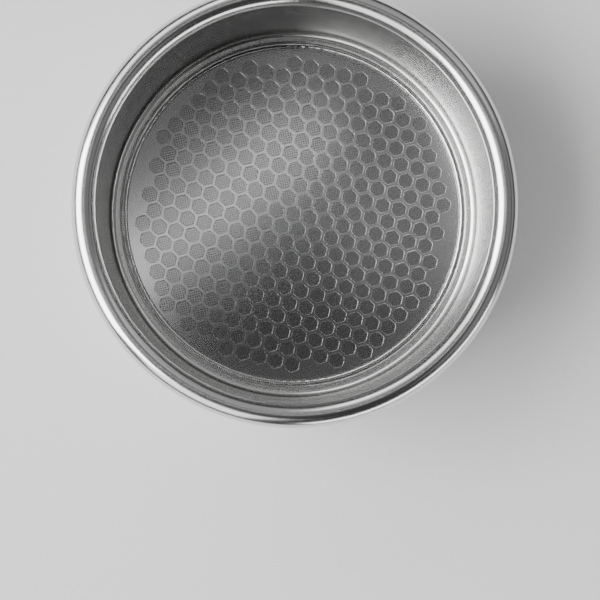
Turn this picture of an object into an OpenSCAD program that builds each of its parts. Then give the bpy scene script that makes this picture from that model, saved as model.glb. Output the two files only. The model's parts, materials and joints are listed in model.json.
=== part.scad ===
// Espresso filter basket: a deep-drawn steel cup with a rolled rim, and an etched
// honeycomb filter disc welded onto the ledge inside its foot.
// The axis is Z, and the origin is the middle of the face that it stands on.

/* [Cup] */
// Inside diameter of the coffee chamber
chamber_d = 54; // [50:0.5:60]
// Height over all, from the standing face to the crest of the rim
height = 26; // [18:0.5:34]
// Thickness of the sheet that the cup is drawn from
sheet = 0.8; // [0.5:0.05:1]
// Radius inside the corner where the wall turns into the ledge
foot_r = 0.9; // [0.8:0.05:2]
// Width of the flat ledge that carries the filter disc
ledge_w = 1.7; // [1.6:0.05:2.4]

/* [Rim] */
// Width of the rolled rim, from the chamber wall to its outer edge
rim_w = 3.4; // [2.8:0.1:4.5]
// Straight skirt under the roll, down to its cut edge
skirt_h = 0.8; // [0.4:0.1:2]

/* [Filter disc] */
// Thickness of the disc
disc_t = 0.5; // [0.4:0.05:0.8]
// Width of the weld bead that runs round the disc's edge
bead_w = 1.1; // [0.8:0.05:1.1]
// Height of the bead's crown above the disc
bead_h = 0.15; // [0.1:0.05:0.4]
// Clearance between the bead's outer toe and the start of the corner
bead_gap = 0.45; // [0.05:0.05:0.5]

/* [Honeycomb] */
// Distance from one cell to the next
cell_pitch = 2.5; // [2:0.1:4]
// Width of the ribs that stand between the cells
rib_w = 0.4; // [0.2:0.05:0.5]
// Depth to which the cells are etched
cell_depth = 0.25; // [0.15:0.05:0.3]
// Plain land between the outermost cells and the edge of the ledge
land_w = 0.8; // [0.5:0.1:3]
// Exponent of the field's outline, where 2 is a circle and more is squarer
field_power = 2.2; // [2:0.1:3]
// Angle of the rows of cells about the axis
row_angle = -13.5; // [-30:0.5:30]

/* [Hidden] */
// Facets of the turned faces, and of the arcs in a section
turned_fn = 96;
arc_fn = 32;
// Points over the bead's crown
bead_steps = 16;
// Exponent that moves the bead's crest inwards, and one that holds its shoulder high
bead_skew = 0.6;
bead_shoulder = 8;

// Radii of the cup
chamber_r = chamber_d / 2;
corner_x = chamber_r - foot_r;
ledge_x = corner_x - ledge_w;
// The roll is half a ring about this place, and the skirt hangs from its outer end
roll_r = rim_w / 2;
roll_x = chamber_r + roll_r;
roll_z = height - roll_r;
rim_r = chamber_r + rim_w;
corner_z = foot_r + sheet;

// Places of the disc and of its bead
disc_top = sheet + disc_t;
bead_out = corner_x - bead_gap;
bead_in = bead_out - bead_w;

// Sizes of the honeycomb
cell_across = cell_pitch - rib_w;
cell_corner = cell_across / sqrt(3);
row_step = cell_pitch * sqrt(3) / 2;
field_r = ledge_x - land_w - cell_corner;
field_rows = floor(field_r / row_step);
field_cols = ceil(field_r / cell_pitch);

// Quarter of a ring of sheet about the origin, between two axes that ax and ay point along
module bend(inner, ax, ay) {
  outer = inner + sheet;
  intersection() {
    difference() {
      circle(outer, $fn = arc_fn);
      circle(inner, $fn = arc_fn);
    }
    translate([ax < 0 ? -outer : 0, ay < 0 ? -outer : 0]) square(outer);
  }
}

// Section of the sheet: ledge, corner, wall, roll and skirt
module cup_section() {
  translate([ledge_x, 0]) square([ledge_w, sheet]);
  translate([corner_x, corner_z]) bend(foot_r, 1, -1);
  translate([chamber_r, corner_z]) square([sheet, roll_z - corner_z]);
  translate([roll_x, roll_z]) {
    bend(roll_r - sheet, -1, 1);
    bend(roll_r - sheet, 1, 1);
  }
  translate([rim_r - sheet, roll_z - skirt_h]) square([sheet, skirt_h]);
}

module cup() {
  color("silver") rotate_extrude($fn = turned_fn) cup_section();
}

// Height over the ledge at a share of the bead's width: the disc's edge falls off at its
// shoulder, and a crown of bead_h stands on it, with 4 b (1 - b) running from 0 to 1 and back
function crown(share) =
  let (b = pow(share, bead_skew))
    disc_t * (1 - pow(share, bead_shoulder)) + bead_h * 4 * b * (1 - b);

// Section of the disc, with the bead's crown falling over its edge to the ledge
module disc_section() {
  crest = [for (i = [0 : bead_steps])
    let (share = i / bead_steps) [bead_in + bead_w * share, sheet + crown(share)]];
  polygon(concat([[0, sheet], [0, disc_top]], crest));
}

// Places of the cells: rows half a pitch apart in turn, kept inside the field's outline
function cell_places() = [
  for (row = [-field_rows : field_rows])
    for (col = [-field_cols : field_cols])
      let (x = (col + (row % 2 == 0 ? 0 : 0.5)) * cell_pitch, y = row * row_step)
        if (pow(abs(x), field_power) + pow(abs(y), field_power) <= pow(field_r, field_power))
          [x, y]];

module honeycomb() {
  rotate(row_angle)
    for (place = cell_places())
      translate(place) rotate(30) circle(cell_corner, $fn = 6);
}

module filter_disc() {
  color("gainsboro") difference() {
    rotate_extrude($fn = turned_fn) disc_section();
    translate([0, 0, disc_top - cell_depth])
      linear_extrude(cell_depth + bead_h) honeycomb();
  }
}

cup();
filter_disc();
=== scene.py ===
import json
import math

import bpy
import numpy as np
from mathutils import Euler, Matrix, Vector


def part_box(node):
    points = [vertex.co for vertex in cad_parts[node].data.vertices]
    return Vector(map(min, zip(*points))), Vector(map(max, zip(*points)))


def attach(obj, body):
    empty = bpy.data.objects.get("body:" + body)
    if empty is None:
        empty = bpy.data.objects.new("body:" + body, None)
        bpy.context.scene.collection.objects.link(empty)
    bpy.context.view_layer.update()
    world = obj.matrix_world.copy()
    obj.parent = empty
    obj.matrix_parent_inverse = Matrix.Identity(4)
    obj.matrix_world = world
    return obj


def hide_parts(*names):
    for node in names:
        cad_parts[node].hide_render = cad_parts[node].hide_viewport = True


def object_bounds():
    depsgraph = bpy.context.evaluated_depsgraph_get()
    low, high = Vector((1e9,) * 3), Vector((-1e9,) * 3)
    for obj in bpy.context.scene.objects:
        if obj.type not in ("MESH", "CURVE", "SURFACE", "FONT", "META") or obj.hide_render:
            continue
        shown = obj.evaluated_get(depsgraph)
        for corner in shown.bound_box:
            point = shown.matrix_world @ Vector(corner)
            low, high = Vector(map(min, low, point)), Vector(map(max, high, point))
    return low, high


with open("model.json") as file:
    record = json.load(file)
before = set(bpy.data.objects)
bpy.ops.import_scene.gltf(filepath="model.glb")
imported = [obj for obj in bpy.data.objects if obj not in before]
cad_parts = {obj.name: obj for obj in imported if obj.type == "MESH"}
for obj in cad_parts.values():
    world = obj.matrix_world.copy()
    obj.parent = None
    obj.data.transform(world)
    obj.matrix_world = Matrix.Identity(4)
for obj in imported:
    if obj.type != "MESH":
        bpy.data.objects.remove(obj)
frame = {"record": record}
cad_low, cad_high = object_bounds()
MM = 0.001

# Camera. It looks down into the basket from 27 cm above the rim, a little to the near side of
# the axis, and is turned by under a degree, which sets the foot off centre inside the mouth.
camera_place = (-3.07 * MM, -15.91 * MM, 294.4 * MM)
camera_turn = (math.radians(0.629), math.radians(-0.793), 0)
camera_lens_mm = 119.3
camera_sensor_mm = 36
camera_reach = (0.01, 20)
camera = bpy.data.objects.new("camera", bpy.data.cameras.new("camera"))
camera.data.sensor_width = camera_sensor_mm
camera.data.lens = camera_lens_mm
camera.data.clip_start, camera.data.clip_end = camera_reach
camera.location = camera_place
camera.rotation_euler = camera_turn
bpy.context.scene.collection.objects.link(camera)
bpy.context.scene.camera = camera


# Cup. One round of steel sheet, deep drawn into a straight wall, with its rim rolled outwards
# and down over a bare cut edge, and its foot turned in as a flat ledge. It is turned smooth
# and polished round its axis, so all its fine marks run round it.
mounts = {m["name"]: m for m in frame["record"]["mounts"]}
chamber_r = mounts["chamber"]["dims"]["r_mm"] * MM
wall_r = mounts["outer_wall"]["dims"]["r_mm"] * MM
sheet = wall_r - chamber_r
cup_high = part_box("cup")[1]
disc_low, disc_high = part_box("filter_disc")
rim_r, height = cup_high.x, cup_high.z
roll_r = (rim_r - chamber_r) / 2
roll_x, roll_z = chamber_r + roll_r, height - roll_r
skirt_z = mounts["rim_seat"]["pos_m"][2]
foot_r = 0.9 * MM
ledge_w = 1.7 * MM
corner_x, corner_z = chamber_r - foot_r, foot_r + sheet
ledge_x = corner_x - ledge_w
edge_round = 0.12 * MM
# Middles of the roundings on the two cut edges, under the rim and at the ledge
cut_out, cut_in = rim_r - edge_round, rim_r - sheet + edge_round
cut_z = skirt_z + edge_round
lip_x = ledge_x + edge_round
# Steps along the arcs and the straights of the section, and round the axis
edge_steps, corner_steps, roll_steps, roll_back_steps = 3, 16, 40, 20
ledge_steps, wall_steps, skirt_steps, wall_back_steps, foot_steps = 8, 26, 3, 20, 4
cup_around = 480
draw_drift = 0.02 * MM
# Waves round the cup: strength, count, turn from the foot to the rim, and start
drift_waves = [(1, 3, 0, 1.1), (0.6, 5, 9, 0), (0.4, 11, -14, 0)]


def arc(x, z, radius, start, end, steps):
    """Points on a circle about (x, z) in the section, from one angle in degrees to another."""
    a = np.radians(np.linspace(start, end, steps + 1))
    return np.stack([x + radius * np.cos(a), z + radius * np.sin(a)], axis=1)


def straight(start, end, steps):
    """Points between two places in the section, with both ends left out."""
    share = np.linspace(0, 1, steps + 1)[1:-1, None]
    return np.array(start) * (1 - share) + np.array(end) * share


def mesh_object(name, points, *face_groups, flat=()):
    """A mesh from an array of points and arrays of faces, each group with one count of corners.
    The groups numbered in flat are shaded flat, and the others smooth."""
    groups = [np.asarray(g, dtype=np.int32) for g in face_groups]
    smooth = np.concatenate([np.full(len(g), k not in flat) for k, g in enumerate(groups)])
    corners = np.concatenate([g.ravel() for g in groups])
    counts = np.concatenate([np.full(len(g), g.shape[1], dtype=np.int32) for g in groups])
    starts = np.concatenate([[0], np.cumsum(counts)[:-1]]).astype(np.int32)
    mesh = bpy.data.meshes.new(name)
    mesh.vertices.add(len(points))
    mesh.vertices.foreach_set("co", np.asarray(points, dtype=np.float32).ravel())
    mesh.loops.add(len(corners))
    mesh.loops.foreach_set("vertex_index", corners)
    mesh.polygons.add(len(counts))
    mesh.polygons.foreach_set("loop_start", starts)
    mesh.polygons.foreach_set("use_smooth", smooth)
    mesh.update(calc_edges=True)
    mesh.validate()
    made = bpy.data.objects.new(name, mesh)
    bpy.context.scene.collection.objects.link(made)
    return made


def grid_faces(rows, columns):
    """Four-cornered faces over a grid that closes on itself both ways."""
    i, j = np.meshgrid(np.arange(rows), np.arange(columns), indexing="ij")
    i, j = i.ravel(), j.ravel()
    i2, j2 = (i + 1) % rows, (j + 1) % columns
    return np.stack([i * columns + j, i * columns + j2, i2 * columns + j2, i2 * columns + j], 1)


def turned(section, around, drift):
    """The section carried round the axis: x = r cos a, y = r sin a, with r and z moved by
    drift(a, share of the way along the section)."""
    angle = np.linspace(0, 2 * np.pi, around, endpoint=False)[:, None]
    share = np.linspace(0, 1, len(section))[None, :]
    dr, dz = drift(angle, share)
    r = section[None, :, 0] + dr
    z = section[None, :, 1] + dz
    points = np.stack([r * np.cos(angle), r * np.sin(angle), z + 0 * angle], axis=2)
    return points.reshape(-1, 3)


def waves(angle, parts, share=0):
    """The sum of strength * sin(count * angle + climb * share + start) over the parts."""
    return sum(strength * np.sin(count * angle + climb * share + start)
               for strength, count, climb, start in parts)


def cup_drift(angle, share):
    """The few hundredths by which a drawn cup strays inwards, in low waves up the wall."""
    inwards = -draw_drift * (1 + waves(angle, drift_waves, share) / 2)
    return inwards, np.zeros_like(inwards)


cup_section = np.concatenate([
    arc(lip_x, sheet - edge_round, edge_round, 180, 90, edge_steps),
    straight((lip_x, sheet), (corner_x, sheet), ledge_steps),
    arc(corner_x, corner_z, foot_r, -90, 0, corner_steps),
    straight((chamber_r, corner_z), (chamber_r, roll_z), wall_steps),
    arc(roll_x, roll_z, roll_r, 180, 0, roll_steps),
    straight((rim_r, roll_z), (rim_r, cut_z), skirt_steps),
    arc(cut_out, cut_z, edge_round, 0, -90, edge_steps),
    arc(cut_in, cut_z, edge_round, -90, -180, edge_steps),
    straight((rim_r - sheet, cut_z), (rim_r - sheet, roll_z), skirt_steps),
    arc(roll_x, roll_z, roll_r - sheet, 0, 180, roll_back_steps),
    straight((wall_r, roll_z), (wall_r, corner_z), wall_back_steps),
    arc(corner_x, corner_z, foot_r + sheet, 0, -90, corner_steps),
    straight((corner_x, 0), (lip_x, 0), foot_steps),
    arc(lip_x, edge_round, edge_round, 270, 180, edge_steps),
])
cup_points = turned(cup_section, cup_around, cup_drift)
cup = mesh_object("cup_wall", cup_points, grid_faces(cup_around, len(cup_section)))
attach(cup, "root")
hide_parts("cup")


# Steel is a touch short of blue, and its gloss is drawn out at a quarter turn from its marks
blue_share, gloss_turn = 0.99, 0.25


def steel(name, grey, roughness, stretch):
    """Bare steel: one grey, one gloss, drawn out across the marks by stretch, and a node tree."""
    material = bpy.data.materials.new(name)
    material.use_nodes = True
    shader = material.node_tree.nodes["Principled BSDF"]
    shader.inputs["Base Color"].default_value = (grey, grey, grey * blue_share, 1)
    shader.inputs["Metallic"].default_value = 1
    shader.inputs["Roughness"].default_value = roughness
    shader.inputs["Anisotropic"].default_value = stretch
    shader.inputs["Anisotropic Rotation"].default_value = gloss_turn
    return material, material.node_tree, shader


def node(tree, kind, **values):
    """Adds a node and sets its inputs by name, or its own settings where it has such a setting."""
    made = tree.nodes.new(kind)
    for key, value in values.items():
        if hasattr(made, key):
            setattr(made, key, value)
        else:
            made.inputs[key].default_value = value
    return made


def math_node(tree, operation, first, second=None):
    """One sum on sockets or numbers."""
    made = tree.nodes.new("ShaderNodeMath")
    made.operation = operation
    for k, value in enumerate([first, second]):
        if value is None:
            continue
        if isinstance(value, (int, float)):
            made.inputs[k].default_value = value
        else:
            tree.links.new(value, made.inputs[k])
    return made.outputs[0]


def object_place(tree):
    """Object coordinates."""
    return node(tree, "ShaderNodeTexCoord").outputs["Object"]


def round_place(tree, turns, across):
    """Object coordinates as (turns cos a, turns sin a, across (r + z)), so that a pattern runs
    round the axis."""
    parts = node(tree, "ShaderNodeSeparateXYZ")
    tree.links.new(object_place(tree), parts.inputs[0])
    x, y, z = parts.outputs
    x_squared = math_node(tree, "MULTIPLY", x, x)
    y_squared = math_node(tree, "MULTIPLY", y, y)
    radius = math_node(tree, "SQRT", math_node(tree, "ADD", x_squared, y_squared))
    cos_a = math_node(tree, "DIVIDE", x, radius)
    sin_a = math_node(tree, "DIVIDE", y, radius)
    along = math_node(tree, "ADD", radius, z)
    joined = node(tree, "ShaderNodeCombineXYZ")
    tree.links.new(math_node(tree, "MULTIPLY", cos_a, turns), joined.inputs[0])
    tree.links.new(math_node(tree, "MULTIPLY", sin_a, turns), joined.inputs[1])
    tree.links.new(math_node(tree, "MULTIPLY", along, across), joined.inputs[2])
    return joined.outputs[0]


def noise(tree, place, **values):
    """A soft pattern between 0 and 1, read at the given place."""
    made = node(tree, "ShaderNodeTexNoise", **values)
    tree.links.new(place, made.inputs["Vector"])
    return made.outputs["Fac"]


def tilt(tree, shader, pattern, strength, distance):
    """Lets a pattern's slopes tilt the surface that the shader sees."""
    made = node(tree, "ShaderNodeBump", Strength=strength, Distance=distance)
    tree.links.new(pattern, made.inputs["Height"])
    tree.links.new(made.outputs[0], shader.inputs["Normal"])


def turned_steel():
    """Polished steel with fine marks round the axis, which also draw its gloss out."""
    material, tree, shader = steel("cup_steel", grey=0.7, roughness=0.2, stretch=0.5)
    place = round_place(tree, turns=3.0, across=9000.0)
    marks = noise(tree, place, Scale=1.0, Detail=5.0, Roughness=0.65)
    tilt(tree, shader, marks, strength=0.12, distance=0.02 * MM)
    around_axis = node(tree, "ShaderNodeTangent", direction_type="RADIAL", axis="Z")
    tree.links.new(around_axis.outputs[0], shader.inputs["Tangent"])
    return material


cup.data.materials.append(turned_steel())


# Weld. The disc's edge is melted to the ledge by one pass round it, which leaves a crowned bead
# with a ripple for each pulse. The pass ends on top of its own start, at the far side.
bead_out = disc_high.x
bead_w = 1.1 * MM
bead_in = bead_out - bead_w
disc_t = 0.5 * MM
disc_top = sheet + disc_t
bead_h = 0.15 * MM
# Shares of the bead's width inside and outside its crest, and how steeply it rises to it
bead_rise, bead_fall = 0.72, 0.28
bead_steepness = 4
bead_around, bead_across = 2800, 12
# Sets the points closer together towards the outer toe
bead_spread = 1.5
ripples = 560
ripple_h = 0.004 * MM
ripple_lag = 2.6
ripple_change = 0.5
# Angles of the second pass, how sharply it starts and stops, and its height
overlap_start, overlap_end = math.radians(95), math.radians(121)
overlap_starts, overlap_stops = 90, 400
overlap_h = 0.05 * MM
# Uneven travel of the pass: strength, count, turn across the bead, and start
travel_waves = [(0.25, 7, 0, 0), (0.35, 23, 0, 1), (0.25, 61, 0, 2)]
travel_h = 0.02 * MM
toe_waves = [(1, 137, 0, 0), (1, 83, 2, 0)]
toe_wander = 0.03 * MM
toe_travel = 0.8
toe_inner_share = 0.4
bead_sink = 0.06 * MM
groove_w, groove_h = 0.16 * MM, 0.12 * MM
# The groove inside the bead, as shares of its width outwards and of its depth downwards
groove_line = np.array([(0.0, 0.03), (0.2, 0.25), (0.45, 0.9), (0.75, 1.0)])
# The hidden underside, from near the outer toe back to the groove
under_z = disc_top - 2 * groove_h
under_line = np.array([
    (bead_out - 0.15 * MM, sheet - bead_sink),
    (bead_in + 0.35 * MM, under_z),
    (bead_in - groove_w, under_z),
])


def bead_points(around, across):
    """Angle, radius and height by share of the bead's width. The crown is 1 - (1 - share /
    bead_rise)^bead_steepness up to its crest, and beyond it falls as a quarter of an ellipse.
    It has ripples that trail at its middle and a second pass where it overlaps, and its toes
    wander a little."""
    angle = np.linspace(0, 2 * np.pi, around, endpoint=False)[:, None]
    share = 1 - (1 - np.linspace(0, 1, across)[None, :]) ** bead_spread
    rise = 1 - (1 - np.minimum(share / bead_rise, 1)) ** bead_steepness
    fall = np.sqrt(1 - np.maximum((share - 1) / bead_fall + 1, 0) ** 2)
    crown = (disc_t + bead_h * rise) * fall
    middle = 4 * share * (1 - share)
    ripple = ripple_h * middle * np.sin(ripples * angle + ripple_lag * middle)
    travel = waves(angle, travel_waves)
    second = 1 / (1 + np.exp(-(angle - overlap_start) * overlap_starts))
    second = second / (1 + np.exp((angle - overlap_end) * overlap_stops))
    z = sheet + crown + ripple * (1 + ripple_change * travel)
    z = z + middle * (travel_h * travel + overlap_h * second)
    toe = toe_wander * (waves(angle, toe_waves, share) + toe_travel * travel)
    toe_share = (1 - share) * (toe_inner_share + (1 - toe_inner_share) * share)
    r = bead_in + bead_w * share + toe * toe_share
    return angle, r, z


def bead_mesh():
    """Points over the groove, the crown and the underside, each line carried round the axis."""
    angle, r, z = bead_points(bead_around, bead_across)
    # The inner edge starts half way down the groove, and the outer toe is sunk into the ledge
    z[:, 0] -= groove_h * 0.5
    z[:, -1] -= bead_sink
    groove_r = r[:, :1] - groove_w * (1 - groove_line[:, 0])[None, :]
    groove_z = disc_top - groove_h * groove_line[:, 1][None, :] + 0 * angle
    groove_r[:, 0] = bead_in - groove_w
    r = np.hstack([groove_r, r, under_line[:, 0][None, :] + 0 * angle])
    z = np.hstack([groove_z, z, under_line[:, 1][None, :] + 0 * angle])
    points = np.stack([r * np.cos(angle), r * np.sin(angle), z], axis=2)
    return points.reshape(-1, 3), grid_faces(bead_around, r.shape[1])


bead = mesh_object("weld_bead", *bead_mesh())
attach(bead, "root")
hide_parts("filter_disc")


def melted_steel():
    """Steel that has run and set, with a fine scale on it."""
    material, tree, shader = steel("bead_steel", grey=0.52, roughness=0.13, stretch=0.0)
    scale = noise(tree, object_place(tree), Scale=2500.0, Detail=3.0, Roughness=0.6)
    tilt(tree, shader, scale, strength=0.25, distance=0.03 * MM)
    return material


bead.data.materials.append(melted_steel())


# Ribs and land of the filter disc. The disc is etched half through from above, which leaves thin
# ribs with hollow flanks between six-sided cells, and a plain land round them. The rows of cells
# lie 13.5 degrees off the X axis, and the field of cells is a circle squared off very slightly.
cell_pitch = 2.5 * MM
rib_w = 0.4 * MM
cell_depth = 0.25 * MM
land_w = 0.8 * MM
field_power = 2.2
row_angle = math.radians(-13.5)
cell_floor = disc_top - cell_depth
row_step = cell_pitch * math.sqrt(3) / 2
field_r = ledge_x - land_w - (cell_pitch - rib_w) / math.sqrt(3)
# The plate reaches a tenth of the way into the groove, so that the two overlap
plate_r = bead_in - 0.9 * groove_w
# Distance from the rib's middle and height above the cells' floor, down one flank
rib_flank = np.array([
    (0.0, 0.25), (0.17, 0.25), (0.182, 0.245), (0.19, 0.225),
    (0.197, 0.12), (0.206, 0.035), (0.225, 0.005), (0.25, -0.012),
]) * MM
corner_softness = 14
under_floor = 0.02 * MM
level_slack = 0.01 * MM
# In metres and square metres: the grid that points snap to, and the least area and radius
snap, least_area, least_r = 1e-8, 1e-13, 1e-9
# Directions from a cell's middle to its six sides, and to its outline, closer near its corners
side_angles = np.radians(np.arange(0, 360, 60))
corner_spread = np.array([0, 16, 25, 30, 35, 44])
directions = np.radians((np.arange(0, 360, 60)[:, None] + corner_spread[None, :]).ravel())
unit = np.stack([np.cos(directions), np.sin(directions)], axis=1)
n_dir = len(directions)


def cell_places(reach):
    """Rows of places a row step apart, each row shifted by half a pitch from the last, within
    a pitch beyond the reach."""
    count = int(reach / row_step) + 2
    steps = np.arange(-count, count + 1)
    row, column = np.meshgrid(steps, steps, indexing="ij")
    x = (column + 0.5 * (row % 2)) * cell_pitch
    places = np.stack([x.ravel(), (row * row_step).ravel()], axis=1)
    return places[np.hypot(*places.T) < reach + cell_pitch]


def turn(points, angle):
    """Points turned about the axis."""
    c, s = math.cos(angle), math.sin(angle)
    return points @ np.array([[c, s], [-s, c]])


def in_field(places):
    """True where a cell is etched: |x|^p + |y|^p is at most the field's radius^p."""
    return (np.abs(places) ** field_power).sum(axis=1) <= field_r ** field_power


def six_sided(across, softness):
    """Distances from a cell's middle to its outline. Sharp corners take the nearest of six sides,
    and soft ones add the six sides' cosines to a high power."""
    facing = np.maximum(np.cos(directions[:, None] - side_angles[None, :]), 0)
    if softness is None:
        return across / 2 / facing.max(axis=1)
    return across / 2 / (facing ** softness).sum(axis=1) ** (1 / softness)


def merge(points, *face_groups):
    """Points that snap to one place become one, and faces that shrink to nothing go."""
    snapped = np.round(points / snap).astype(np.int64)
    _, first, inverse = np.unique(snapped, axis=0, return_index=True, return_inverse=True)
    inverse = inverse.ravel()
    groups = []
    for faces in face_groups:
        faces = inverse[faces]
        area = np.zeros((len(faces), 3))
        p = points[first][faces]
        for k in range(1, faces.shape[1] - 1):
            area += np.cross(p[:, k] - p[:, 0], p[:, k + 1] - p[:, 0])
        groups.append(faces[np.linalg.norm(area, axis=1) > least_area])
    return points[first], groups


def face_edges(faces):
    """Every edge of the faces, in each face's own direction."""
    after = np.roll(faces, -1, axis=1)
    return np.concatenate([np.stack([a, b], axis=1) for a, b in zip(faces.T, after.T)])


def rim_edges(face_groups):
    """The edges that only one of the faces has, in that face's own direction."""
    edges = np.concatenate([face_edges(f) for f in face_groups if len(f)])
    low, high = edges.min(axis=1).astype(np.int64), edges.max(axis=1).astype(np.int64)
    code = low * (high.max() + 1) + high
    _, inverse, counts = np.unique(code, return_inverse=True, return_counts=True)
    return edges[counts[inverse.ravel()] == 1]


def cell_walls(places):
    """Rings down the flank round each place, from the middle line of the ribs and back to it under
    the floor, joined in bands. Gives the points, the ribs' tops and the flanks."""
    outline = six_sided(cell_pitch, None)
    rings = []
    for offset, up in rib_flank:
        ring = outline if offset == 0 else six_sided(cell_pitch - 2 * offset, corner_softness)
        rings.append(np.hstack([unit * ring[:, None], np.full((n_dir, 1), cell_floor + up)]))
    low = np.full((n_dir, 1), cell_floor - under_floor)
    rings.append(np.hstack([unit * outline[:, None], low]))
    middle = np.hstack([places, np.zeros((len(places), 1))])
    points = np.array(rings)[None] + middle[:, None, None, :]
    row, column = np.meshgrid(np.arange(len(rings) - 1), np.arange(n_dir), indexing="ij")
    after = (column + 1) % n_dir
    here, below = row * n_dir, (row + 1) * n_dir
    bands = np.stack([here + column, below + column, below + after, here + after], axis=-1)
    start = np.arange(len(places))[:, None, None] * len(rings) * n_dir
    tops = (bands[:1].reshape(1, -1, 4) + start).reshape(-1, 4)
    flanks = (bands[1:].reshape(1, -1, 4) + start).reshape(-1, 4)
    return points.reshape(-1, 3), tops, flanks


def land_tiles(places):
    """A six-sided fan on top and one below round each place, with what lies beyond the plate's
    edge drawn back onto it. Gives the points and the faces."""
    fan_xy = np.concatenate([np.zeros((1, 2)), unit * six_sided(cell_pitch, None)[:, None]])
    xy = places[:, None, :] + fan_xy[None]
    out = np.maximum(np.hypot(xy[..., 0], xy[..., 1]), least_r)
    xy = xy * np.minimum(1, plate_r / out)[..., None]
    levels = np.array([disc_top, cell_floor - under_floor])[None, :, None, None]
    count = n_dir + 1
    shape = (len(places), 2, count)
    sheets = [np.broadcast_to(xy[:, None], shape + (2,)), np.broadcast_to(levels, shape + (1,))]
    k = np.arange(n_dir)
    fan = np.stack([np.zeros(n_dir, int), 1 + k, 1 + (k + 1) % n_dir], axis=1)
    pair = np.concatenate([fan, fan[:, ::-1] + count])
    start = (np.arange(len(places)) * 2 * count)[:, None, None]
    return np.concatenate(sheets, axis=-1).reshape(-1, 3), (pair[None] + start).reshape(-1, 3)


def edge_wall(points, borders):
    """Faces from each open edge at the disc's top down to the points under its two ends."""
    at_top = points[borders[:, 0], 2] > disc_top - level_slack
    top = borders[at_top]
    low = np.unique(borders[~at_top])
    x, y = np.round(points[:, :2] / snap).astype(np.int64).T
    code = x * (2 * np.abs(y).max() + 1) + y
    order = low[np.argsort(code[low])]
    a, b = (order[np.searchsorted(code[order], code[top[:, k]])] for k in range(2))
    return np.stack([top[:, 1], top[:, 0], a, b], axis=1)


all_places = cell_places(plate_r)
etched = in_field(all_places)
wall_points, rib_tops, rib_flanks = cell_walls(all_places[etched])
land_points, land = land_tiles(all_places[~etched])
points = np.concatenate([wall_points, land_points])
points[:, :2] = turn(points[:, :2], row_angle)
points, (rib_flanks, rib_tops, land) = merge(points, rib_flanks, rib_tops, land + len(wall_points))
plate_wall = edge_wall(points, rim_edges([rib_flanks, rib_tops, land]))
ribs = mesh_object("disc_ribs", points, rib_flanks, rib_tops, land, plate_wall, flat=(1, 2, 3))
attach(ribs, "root")
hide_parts("filter_disc")


# Where in the pattern the clouds are darkest and palest
cloud_dark, cloud_pale = 0.3, 0.7


def disc_finish(name, grey, roughness, mottle, grain_depth):
    """Bare sheet with soft clouds in its grey and a fine grain in its surface."""
    material, tree, shader = steel(name, grey, roughness, stretch=0.0)
    place = object_place(tree)
    clouds = noise(tree, place, Scale=260.0, Detail=4.0, Roughness=0.6)
    tint = node(tree, "ShaderNodeValToRGB")
    for k, (at, level) in enumerate([(cloud_dark, grey - mottle), (cloud_pale, grey + mottle)]):
        tint.color_ramp.elements[k].position = at
        tint.color_ramp.elements[k].color = (level, level, level, 1)
    tree.links.new(clouds, tint.inputs[0])
    tree.links.new(tint.outputs[0], shader.inputs["Base Color"])
    grain = noise(tree, place, Scale=9000.0, Detail=2.0, Roughness=0.5)
    tilt(tree, shader, grain, strength=0.3, distance=grain_depth)
    return material


for finish in [
    disc_finish("disc_sheet", grey=0.64, roughness=0.14, mottle=0.02, grain_depth=0.0005 * MM),
    disc_finish("etched_flank", grey=0.42, roughness=0.36, mottle=0.02, grain_depth=0.0006 * MM),
]:
    ribs.data.materials.append(finish)
# The flanks are the ribs' only faces that are shaded smooth
on_flank = np.zeros(len(ribs.data.polygons), dtype=bool)
ribs.data.polygons.foreach_get("use_smooth", on_flank)
ribs.data.polygons.foreach_set("material_index", on_flank.astype(np.int32))


# Floors of the cells. Under the ribs the disc is one thin web, and wherever it is the floor of
# a cell it is etched through with pinholes on a square grid that takes no notice of the cells.
hole_pitch = 0.332 * MM
hole_r_top, hole_r_low = 0.092 * MM, 0.08 * MM
hole_margin = 0.02 * MM
hole_sides = 8
grid_angle = math.radians(12.6)
web_tuck = 0.4 * MM
web_r = bead_in + web_tuck
web_low, web_high = disc_low.z, cell_floor
corner_angles = np.radians((np.arange(hole_sides) + 0.5) * 360 / hole_sides)
octagon = np.stack([np.cos(corner_angles), np.sin(corner_angles)], axis=1)
# Corner k of a site's square lies between these two corners of its hole
hole_by_corner = np.array([[4, 5], [6, 7], [0, 1], [2, 3]])


def nearest_cell(places):
    """The middle of the cell nearest to each place, as the best of the three rows about it."""
    row = np.round(places[:, 1] / row_step)
    least = np.full(len(places), np.inf)
    nearest = np.zeros_like(places)
    for step in (-1, 0, 1):
        shift = 0.5 * ((row + step) % 2)
        column = np.round(places[:, 0] / cell_pitch - shift)
        middle = np.stack([(column + shift) * cell_pitch, (row + step) * row_step], axis=1)
        away = np.hypot(*(places - middle).T)
        closer = away < least
        least = np.where(closer, away, least)
        nearest[closer] = middle[closer]
    return nearest


def hole_sites():
    """Sites on a square grid, by column and row, and which of them are holes: those whose middle
    is inside a cell by a margin."""
    count = int(web_r / hole_pitch) + 2
    span = np.arange(-count, count)
    i, j = np.meshgrid(span, span, indexing="ij")
    middle = (np.stack([i, j], axis=-1).reshape(-1, 2) + 0.5) * hole_pitch
    places = turn(turn(middle, grid_angle), -row_angle)
    nearest = nearest_cell(places)
    sides = np.stack([np.cos(side_angles), np.sin(side_angles)])
    facing = np.maximum((places - nearest) @ sides, 0)
    depth = (facing ** corner_softness).sum(axis=1) ** (1 / corner_softness)
    is_hole = in_field(nearest) & (depth < (cell_pitch - rib_w) / 2 - hole_margin)
    return span, i.ravel(), j.ravel(), is_hole


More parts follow.
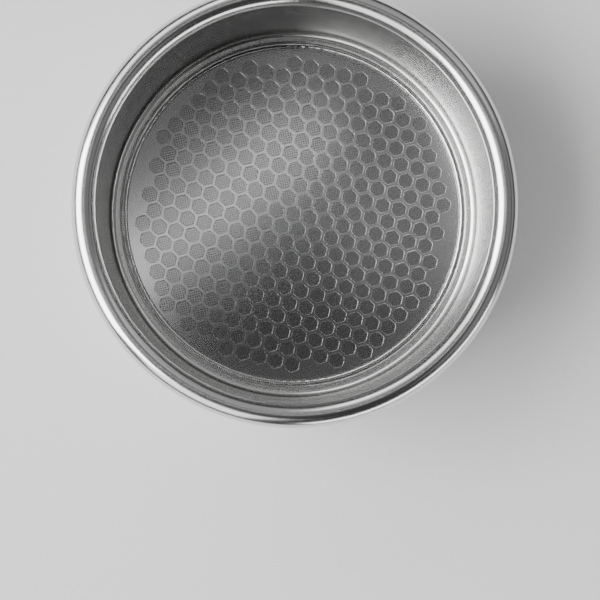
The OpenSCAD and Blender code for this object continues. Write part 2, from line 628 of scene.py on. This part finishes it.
span, site_i, site_j, is_hole = hole_sites()
n_side = len(span) + 1
corner_span = np.arange(span[0], span[-1] + 2) * hole_pitch
corner_xy = np.stack(np.meshgrid(corner_span, corner_span, indexing="ij"), axis=-1).reshape(-1, 2)
corner_out = np.maximum(np.hypot(*corner_xy.T), least_r)
corner_xy = corner_xy * np.minimum(1, web_r / corner_out)[:, None]
first_i, first_j = site_i - span[0], site_j - span[0]
here, beside = first_i * n_side + first_j, (first_i + 1) * n_side + first_j
square = np.stack([here, beside, beside + 1, here + 1], axis=1)
touched = (corner_out < web_r)[square].any(axis=1)


def web_piece(name, chosen):
    """The web over the chosen sites: both its faces, the walls of the holes, and a wall round its
    outline. A site with a hole is four four-cornered and four three-cornered faces round it."""
    holed = square[chosen & is_hole]
    middle = (np.stack([site_i, site_j], axis=1)[chosen & is_hole] + 0.5) * hole_pitch
    n_corner, n_hole = len(corner_xy), len(middle)
    n_ring = hole_sides * n_hole

    def level(xy, z):
        """Places in the plane, as points at one height."""
        xy = xy.reshape(-1, 2)
        return np.hstack([xy, np.full((len(xy), 1), z)])

    points = np.concatenate([
        level(corner_xy, web_high),
        level(corner_xy, web_low),
        level(middle[:, None] + hole_r_top * octagon[None], web_high),
        level(middle[:, None] + hole_r_low * octagon[None], web_low),
    ])
    ring = 2 * n_corner + np.arange(n_hole) * hole_sides
    quads, threes = [square[chosen & ~is_hole]], []
    for c in range(4):
        here, there = holed[:, c], holed[:, (c + 1) % 4]
        a, b = hole_by_corner[c]
        d = hole_by_corner[(c + 1) % 4][0]
        threes.append(np.stack([here, ring + b, ring + a], axis=1))
        quads.append(np.stack([here, there, ring + d, ring + b], axis=1))
    quads, threes = np.concatenate(quads), np.concatenate(threes)

    def below(corners):
        """The same corners on the lower face."""
        return corners + np.where(corners >= 2 * n_corner, n_ring, n_corner)

    borders = rim_edges([quads, threes])
    a, b = borders.T
    walls = np.stack([b, a, below(a), below(b)], axis=1)
    quads = np.concatenate([quads, below(quads)[:, ::-1], walls])
    threes = np.concatenate([threes, below(threes)[:, ::-1]])
    points[:, :2] = turn(points[:, :2], grid_angle)
    used = np.unique(np.concatenate([quads.ravel(), threes.ravel()]))
    renumber = np.zeros(len(points), int)
    renumber[used] = np.arange(len(used))
    points, (quads, threes) = merge(points[used], renumber[quads], renumber[threes])
    piece = mesh_object(name, points, quads, threes, flat=(0, 1))
    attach(piece, "root")
    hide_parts("filter_disc")
    return piece


etched_floor = disc_finish(
    "etched_floor", grey=0.54, roughness=0.15, mottle=0.03, grain_depth=0.0006 * MM
)
# The web is made in four quarters, so that no one mesh grows too large
for name, east, north in [
    ("web_east_north", 1, 1),
    ("web_west_north", 0, 1),
    ("web_west_south", 0, 0),
    ("web_east_south", 1, 0),
]:
    web = web_piece(name, touched & ((site_i >= 0) == east) & ((site_j >= 0) == north))
    web.data.materials.append(etched_floor)


# Studio. A plain pale floor under the basket, and soft lights round and above it.
floor_half = 1.5
floor_z = cad_low.z
floor_corners = [(-floor_half, -floor_half), (floor_half, -floor_half), (floor_half, floor_half),
               (-floor_half, floor_half)]


def plain_finish(name, grey, roughness):
    """A matt paint of one grey."""
    material = bpy.data.materials.new(name)
    material.use_nodes = True
    shader = material.node_tree.nodes["Principled BSDF"]
    shader.inputs["Base Color"].default_value = (grey, grey, grey, 1)
    shader.inputs["Roughness"].default_value = roughness
    return material


floor = mesh_object("floor", [(x, y, floor_z) for x, y in floor_corners], [(0, 1, 2, 3)], flat=(0,))
floor.data.materials.append(plain_finish("pale_floor", grey=0.7, roughness=0.8))


def soft_box(name, azimuth, from_vertical, distance, wide, tall, radiance, spin=0):
    """A soft box that faces the basket. Its place and its size are angles in degrees as seen from
    the basket, and its power follows from its brightness times pi times its area."""
    light = bpy.data.lights.new(name, "AREA")
    light.shape = "RECTANGLE"
    light.size = 2 * distance * math.tan(math.radians(wide / 2))
    light.size_y = 2 * distance * math.tan(math.radians(tall / 2))
    light.energy = radiance * math.pi * light.size * light.size_y
    lamp = bpy.data.objects.new(name, light)
    turn_to = Euler((math.radians(from_vertical), 0, math.radians(azimuth + 90))).to_matrix()
    lamp.rotation_euler = (turn_to @ Matrix.Rotation(math.radians(spin), 3, "Z")).to_euler()
    lamp.location = turn_to @ Vector((0, 0, distance))
    bpy.context.scene.collection.objects.link(lamp)


# Name, azimuth, angle from the vertical, distance, width, height, brightness and spin
for values in [
    ("left", 187, 44, 0.8, 46, 42, 10.0),
    ("far_left", 134, 48, 0.8, 60, 26, 2.2),
    ("far_high", 95, 25, 0.8, 100, 14, 0.45),
    ("near_right", -54, 71, 0.8, 62, 14, 4.5),
    ("near_left", -119, 50, 0.8, 30, 42, 2.2),
    ("far", 70, 50, 0.8, 60, 30, 0.4),
    ("right", 0, 32, 0.8, 50, 30, 0.2),
    ("right_low", 15, 62, 0.8, 70, 16, 0.3),
    ("over_far", 62, 11, 0.5, 12, 6, 0.15),
    ("over_right", 25, 9, 0.5, 6, 12, 0.33),
    ("over_near", -80, 6, 0.5, 16, 6, 0.08),
    ("over_left", 148, 9, 0.5, 12, 5, 0.1),
    ("streak", 160, 5.4, 0.5, 2.2, 18, 2.0, 58),
]:
    soft_box(*values)
backdrop_grey, backdrop_strength = 0.5, 0.03
world = bpy.data.worlds.new("studio")
bpy.context.scene.world = world
world.use_nodes = True
backdrop = world.node_tree.nodes["Background"]
backdrop.inputs["Color"].default_value = (backdrop_grey, backdrop_grey, backdrop_grey, 1)
backdrop.inputs["Strength"].default_value = backdrop_strength
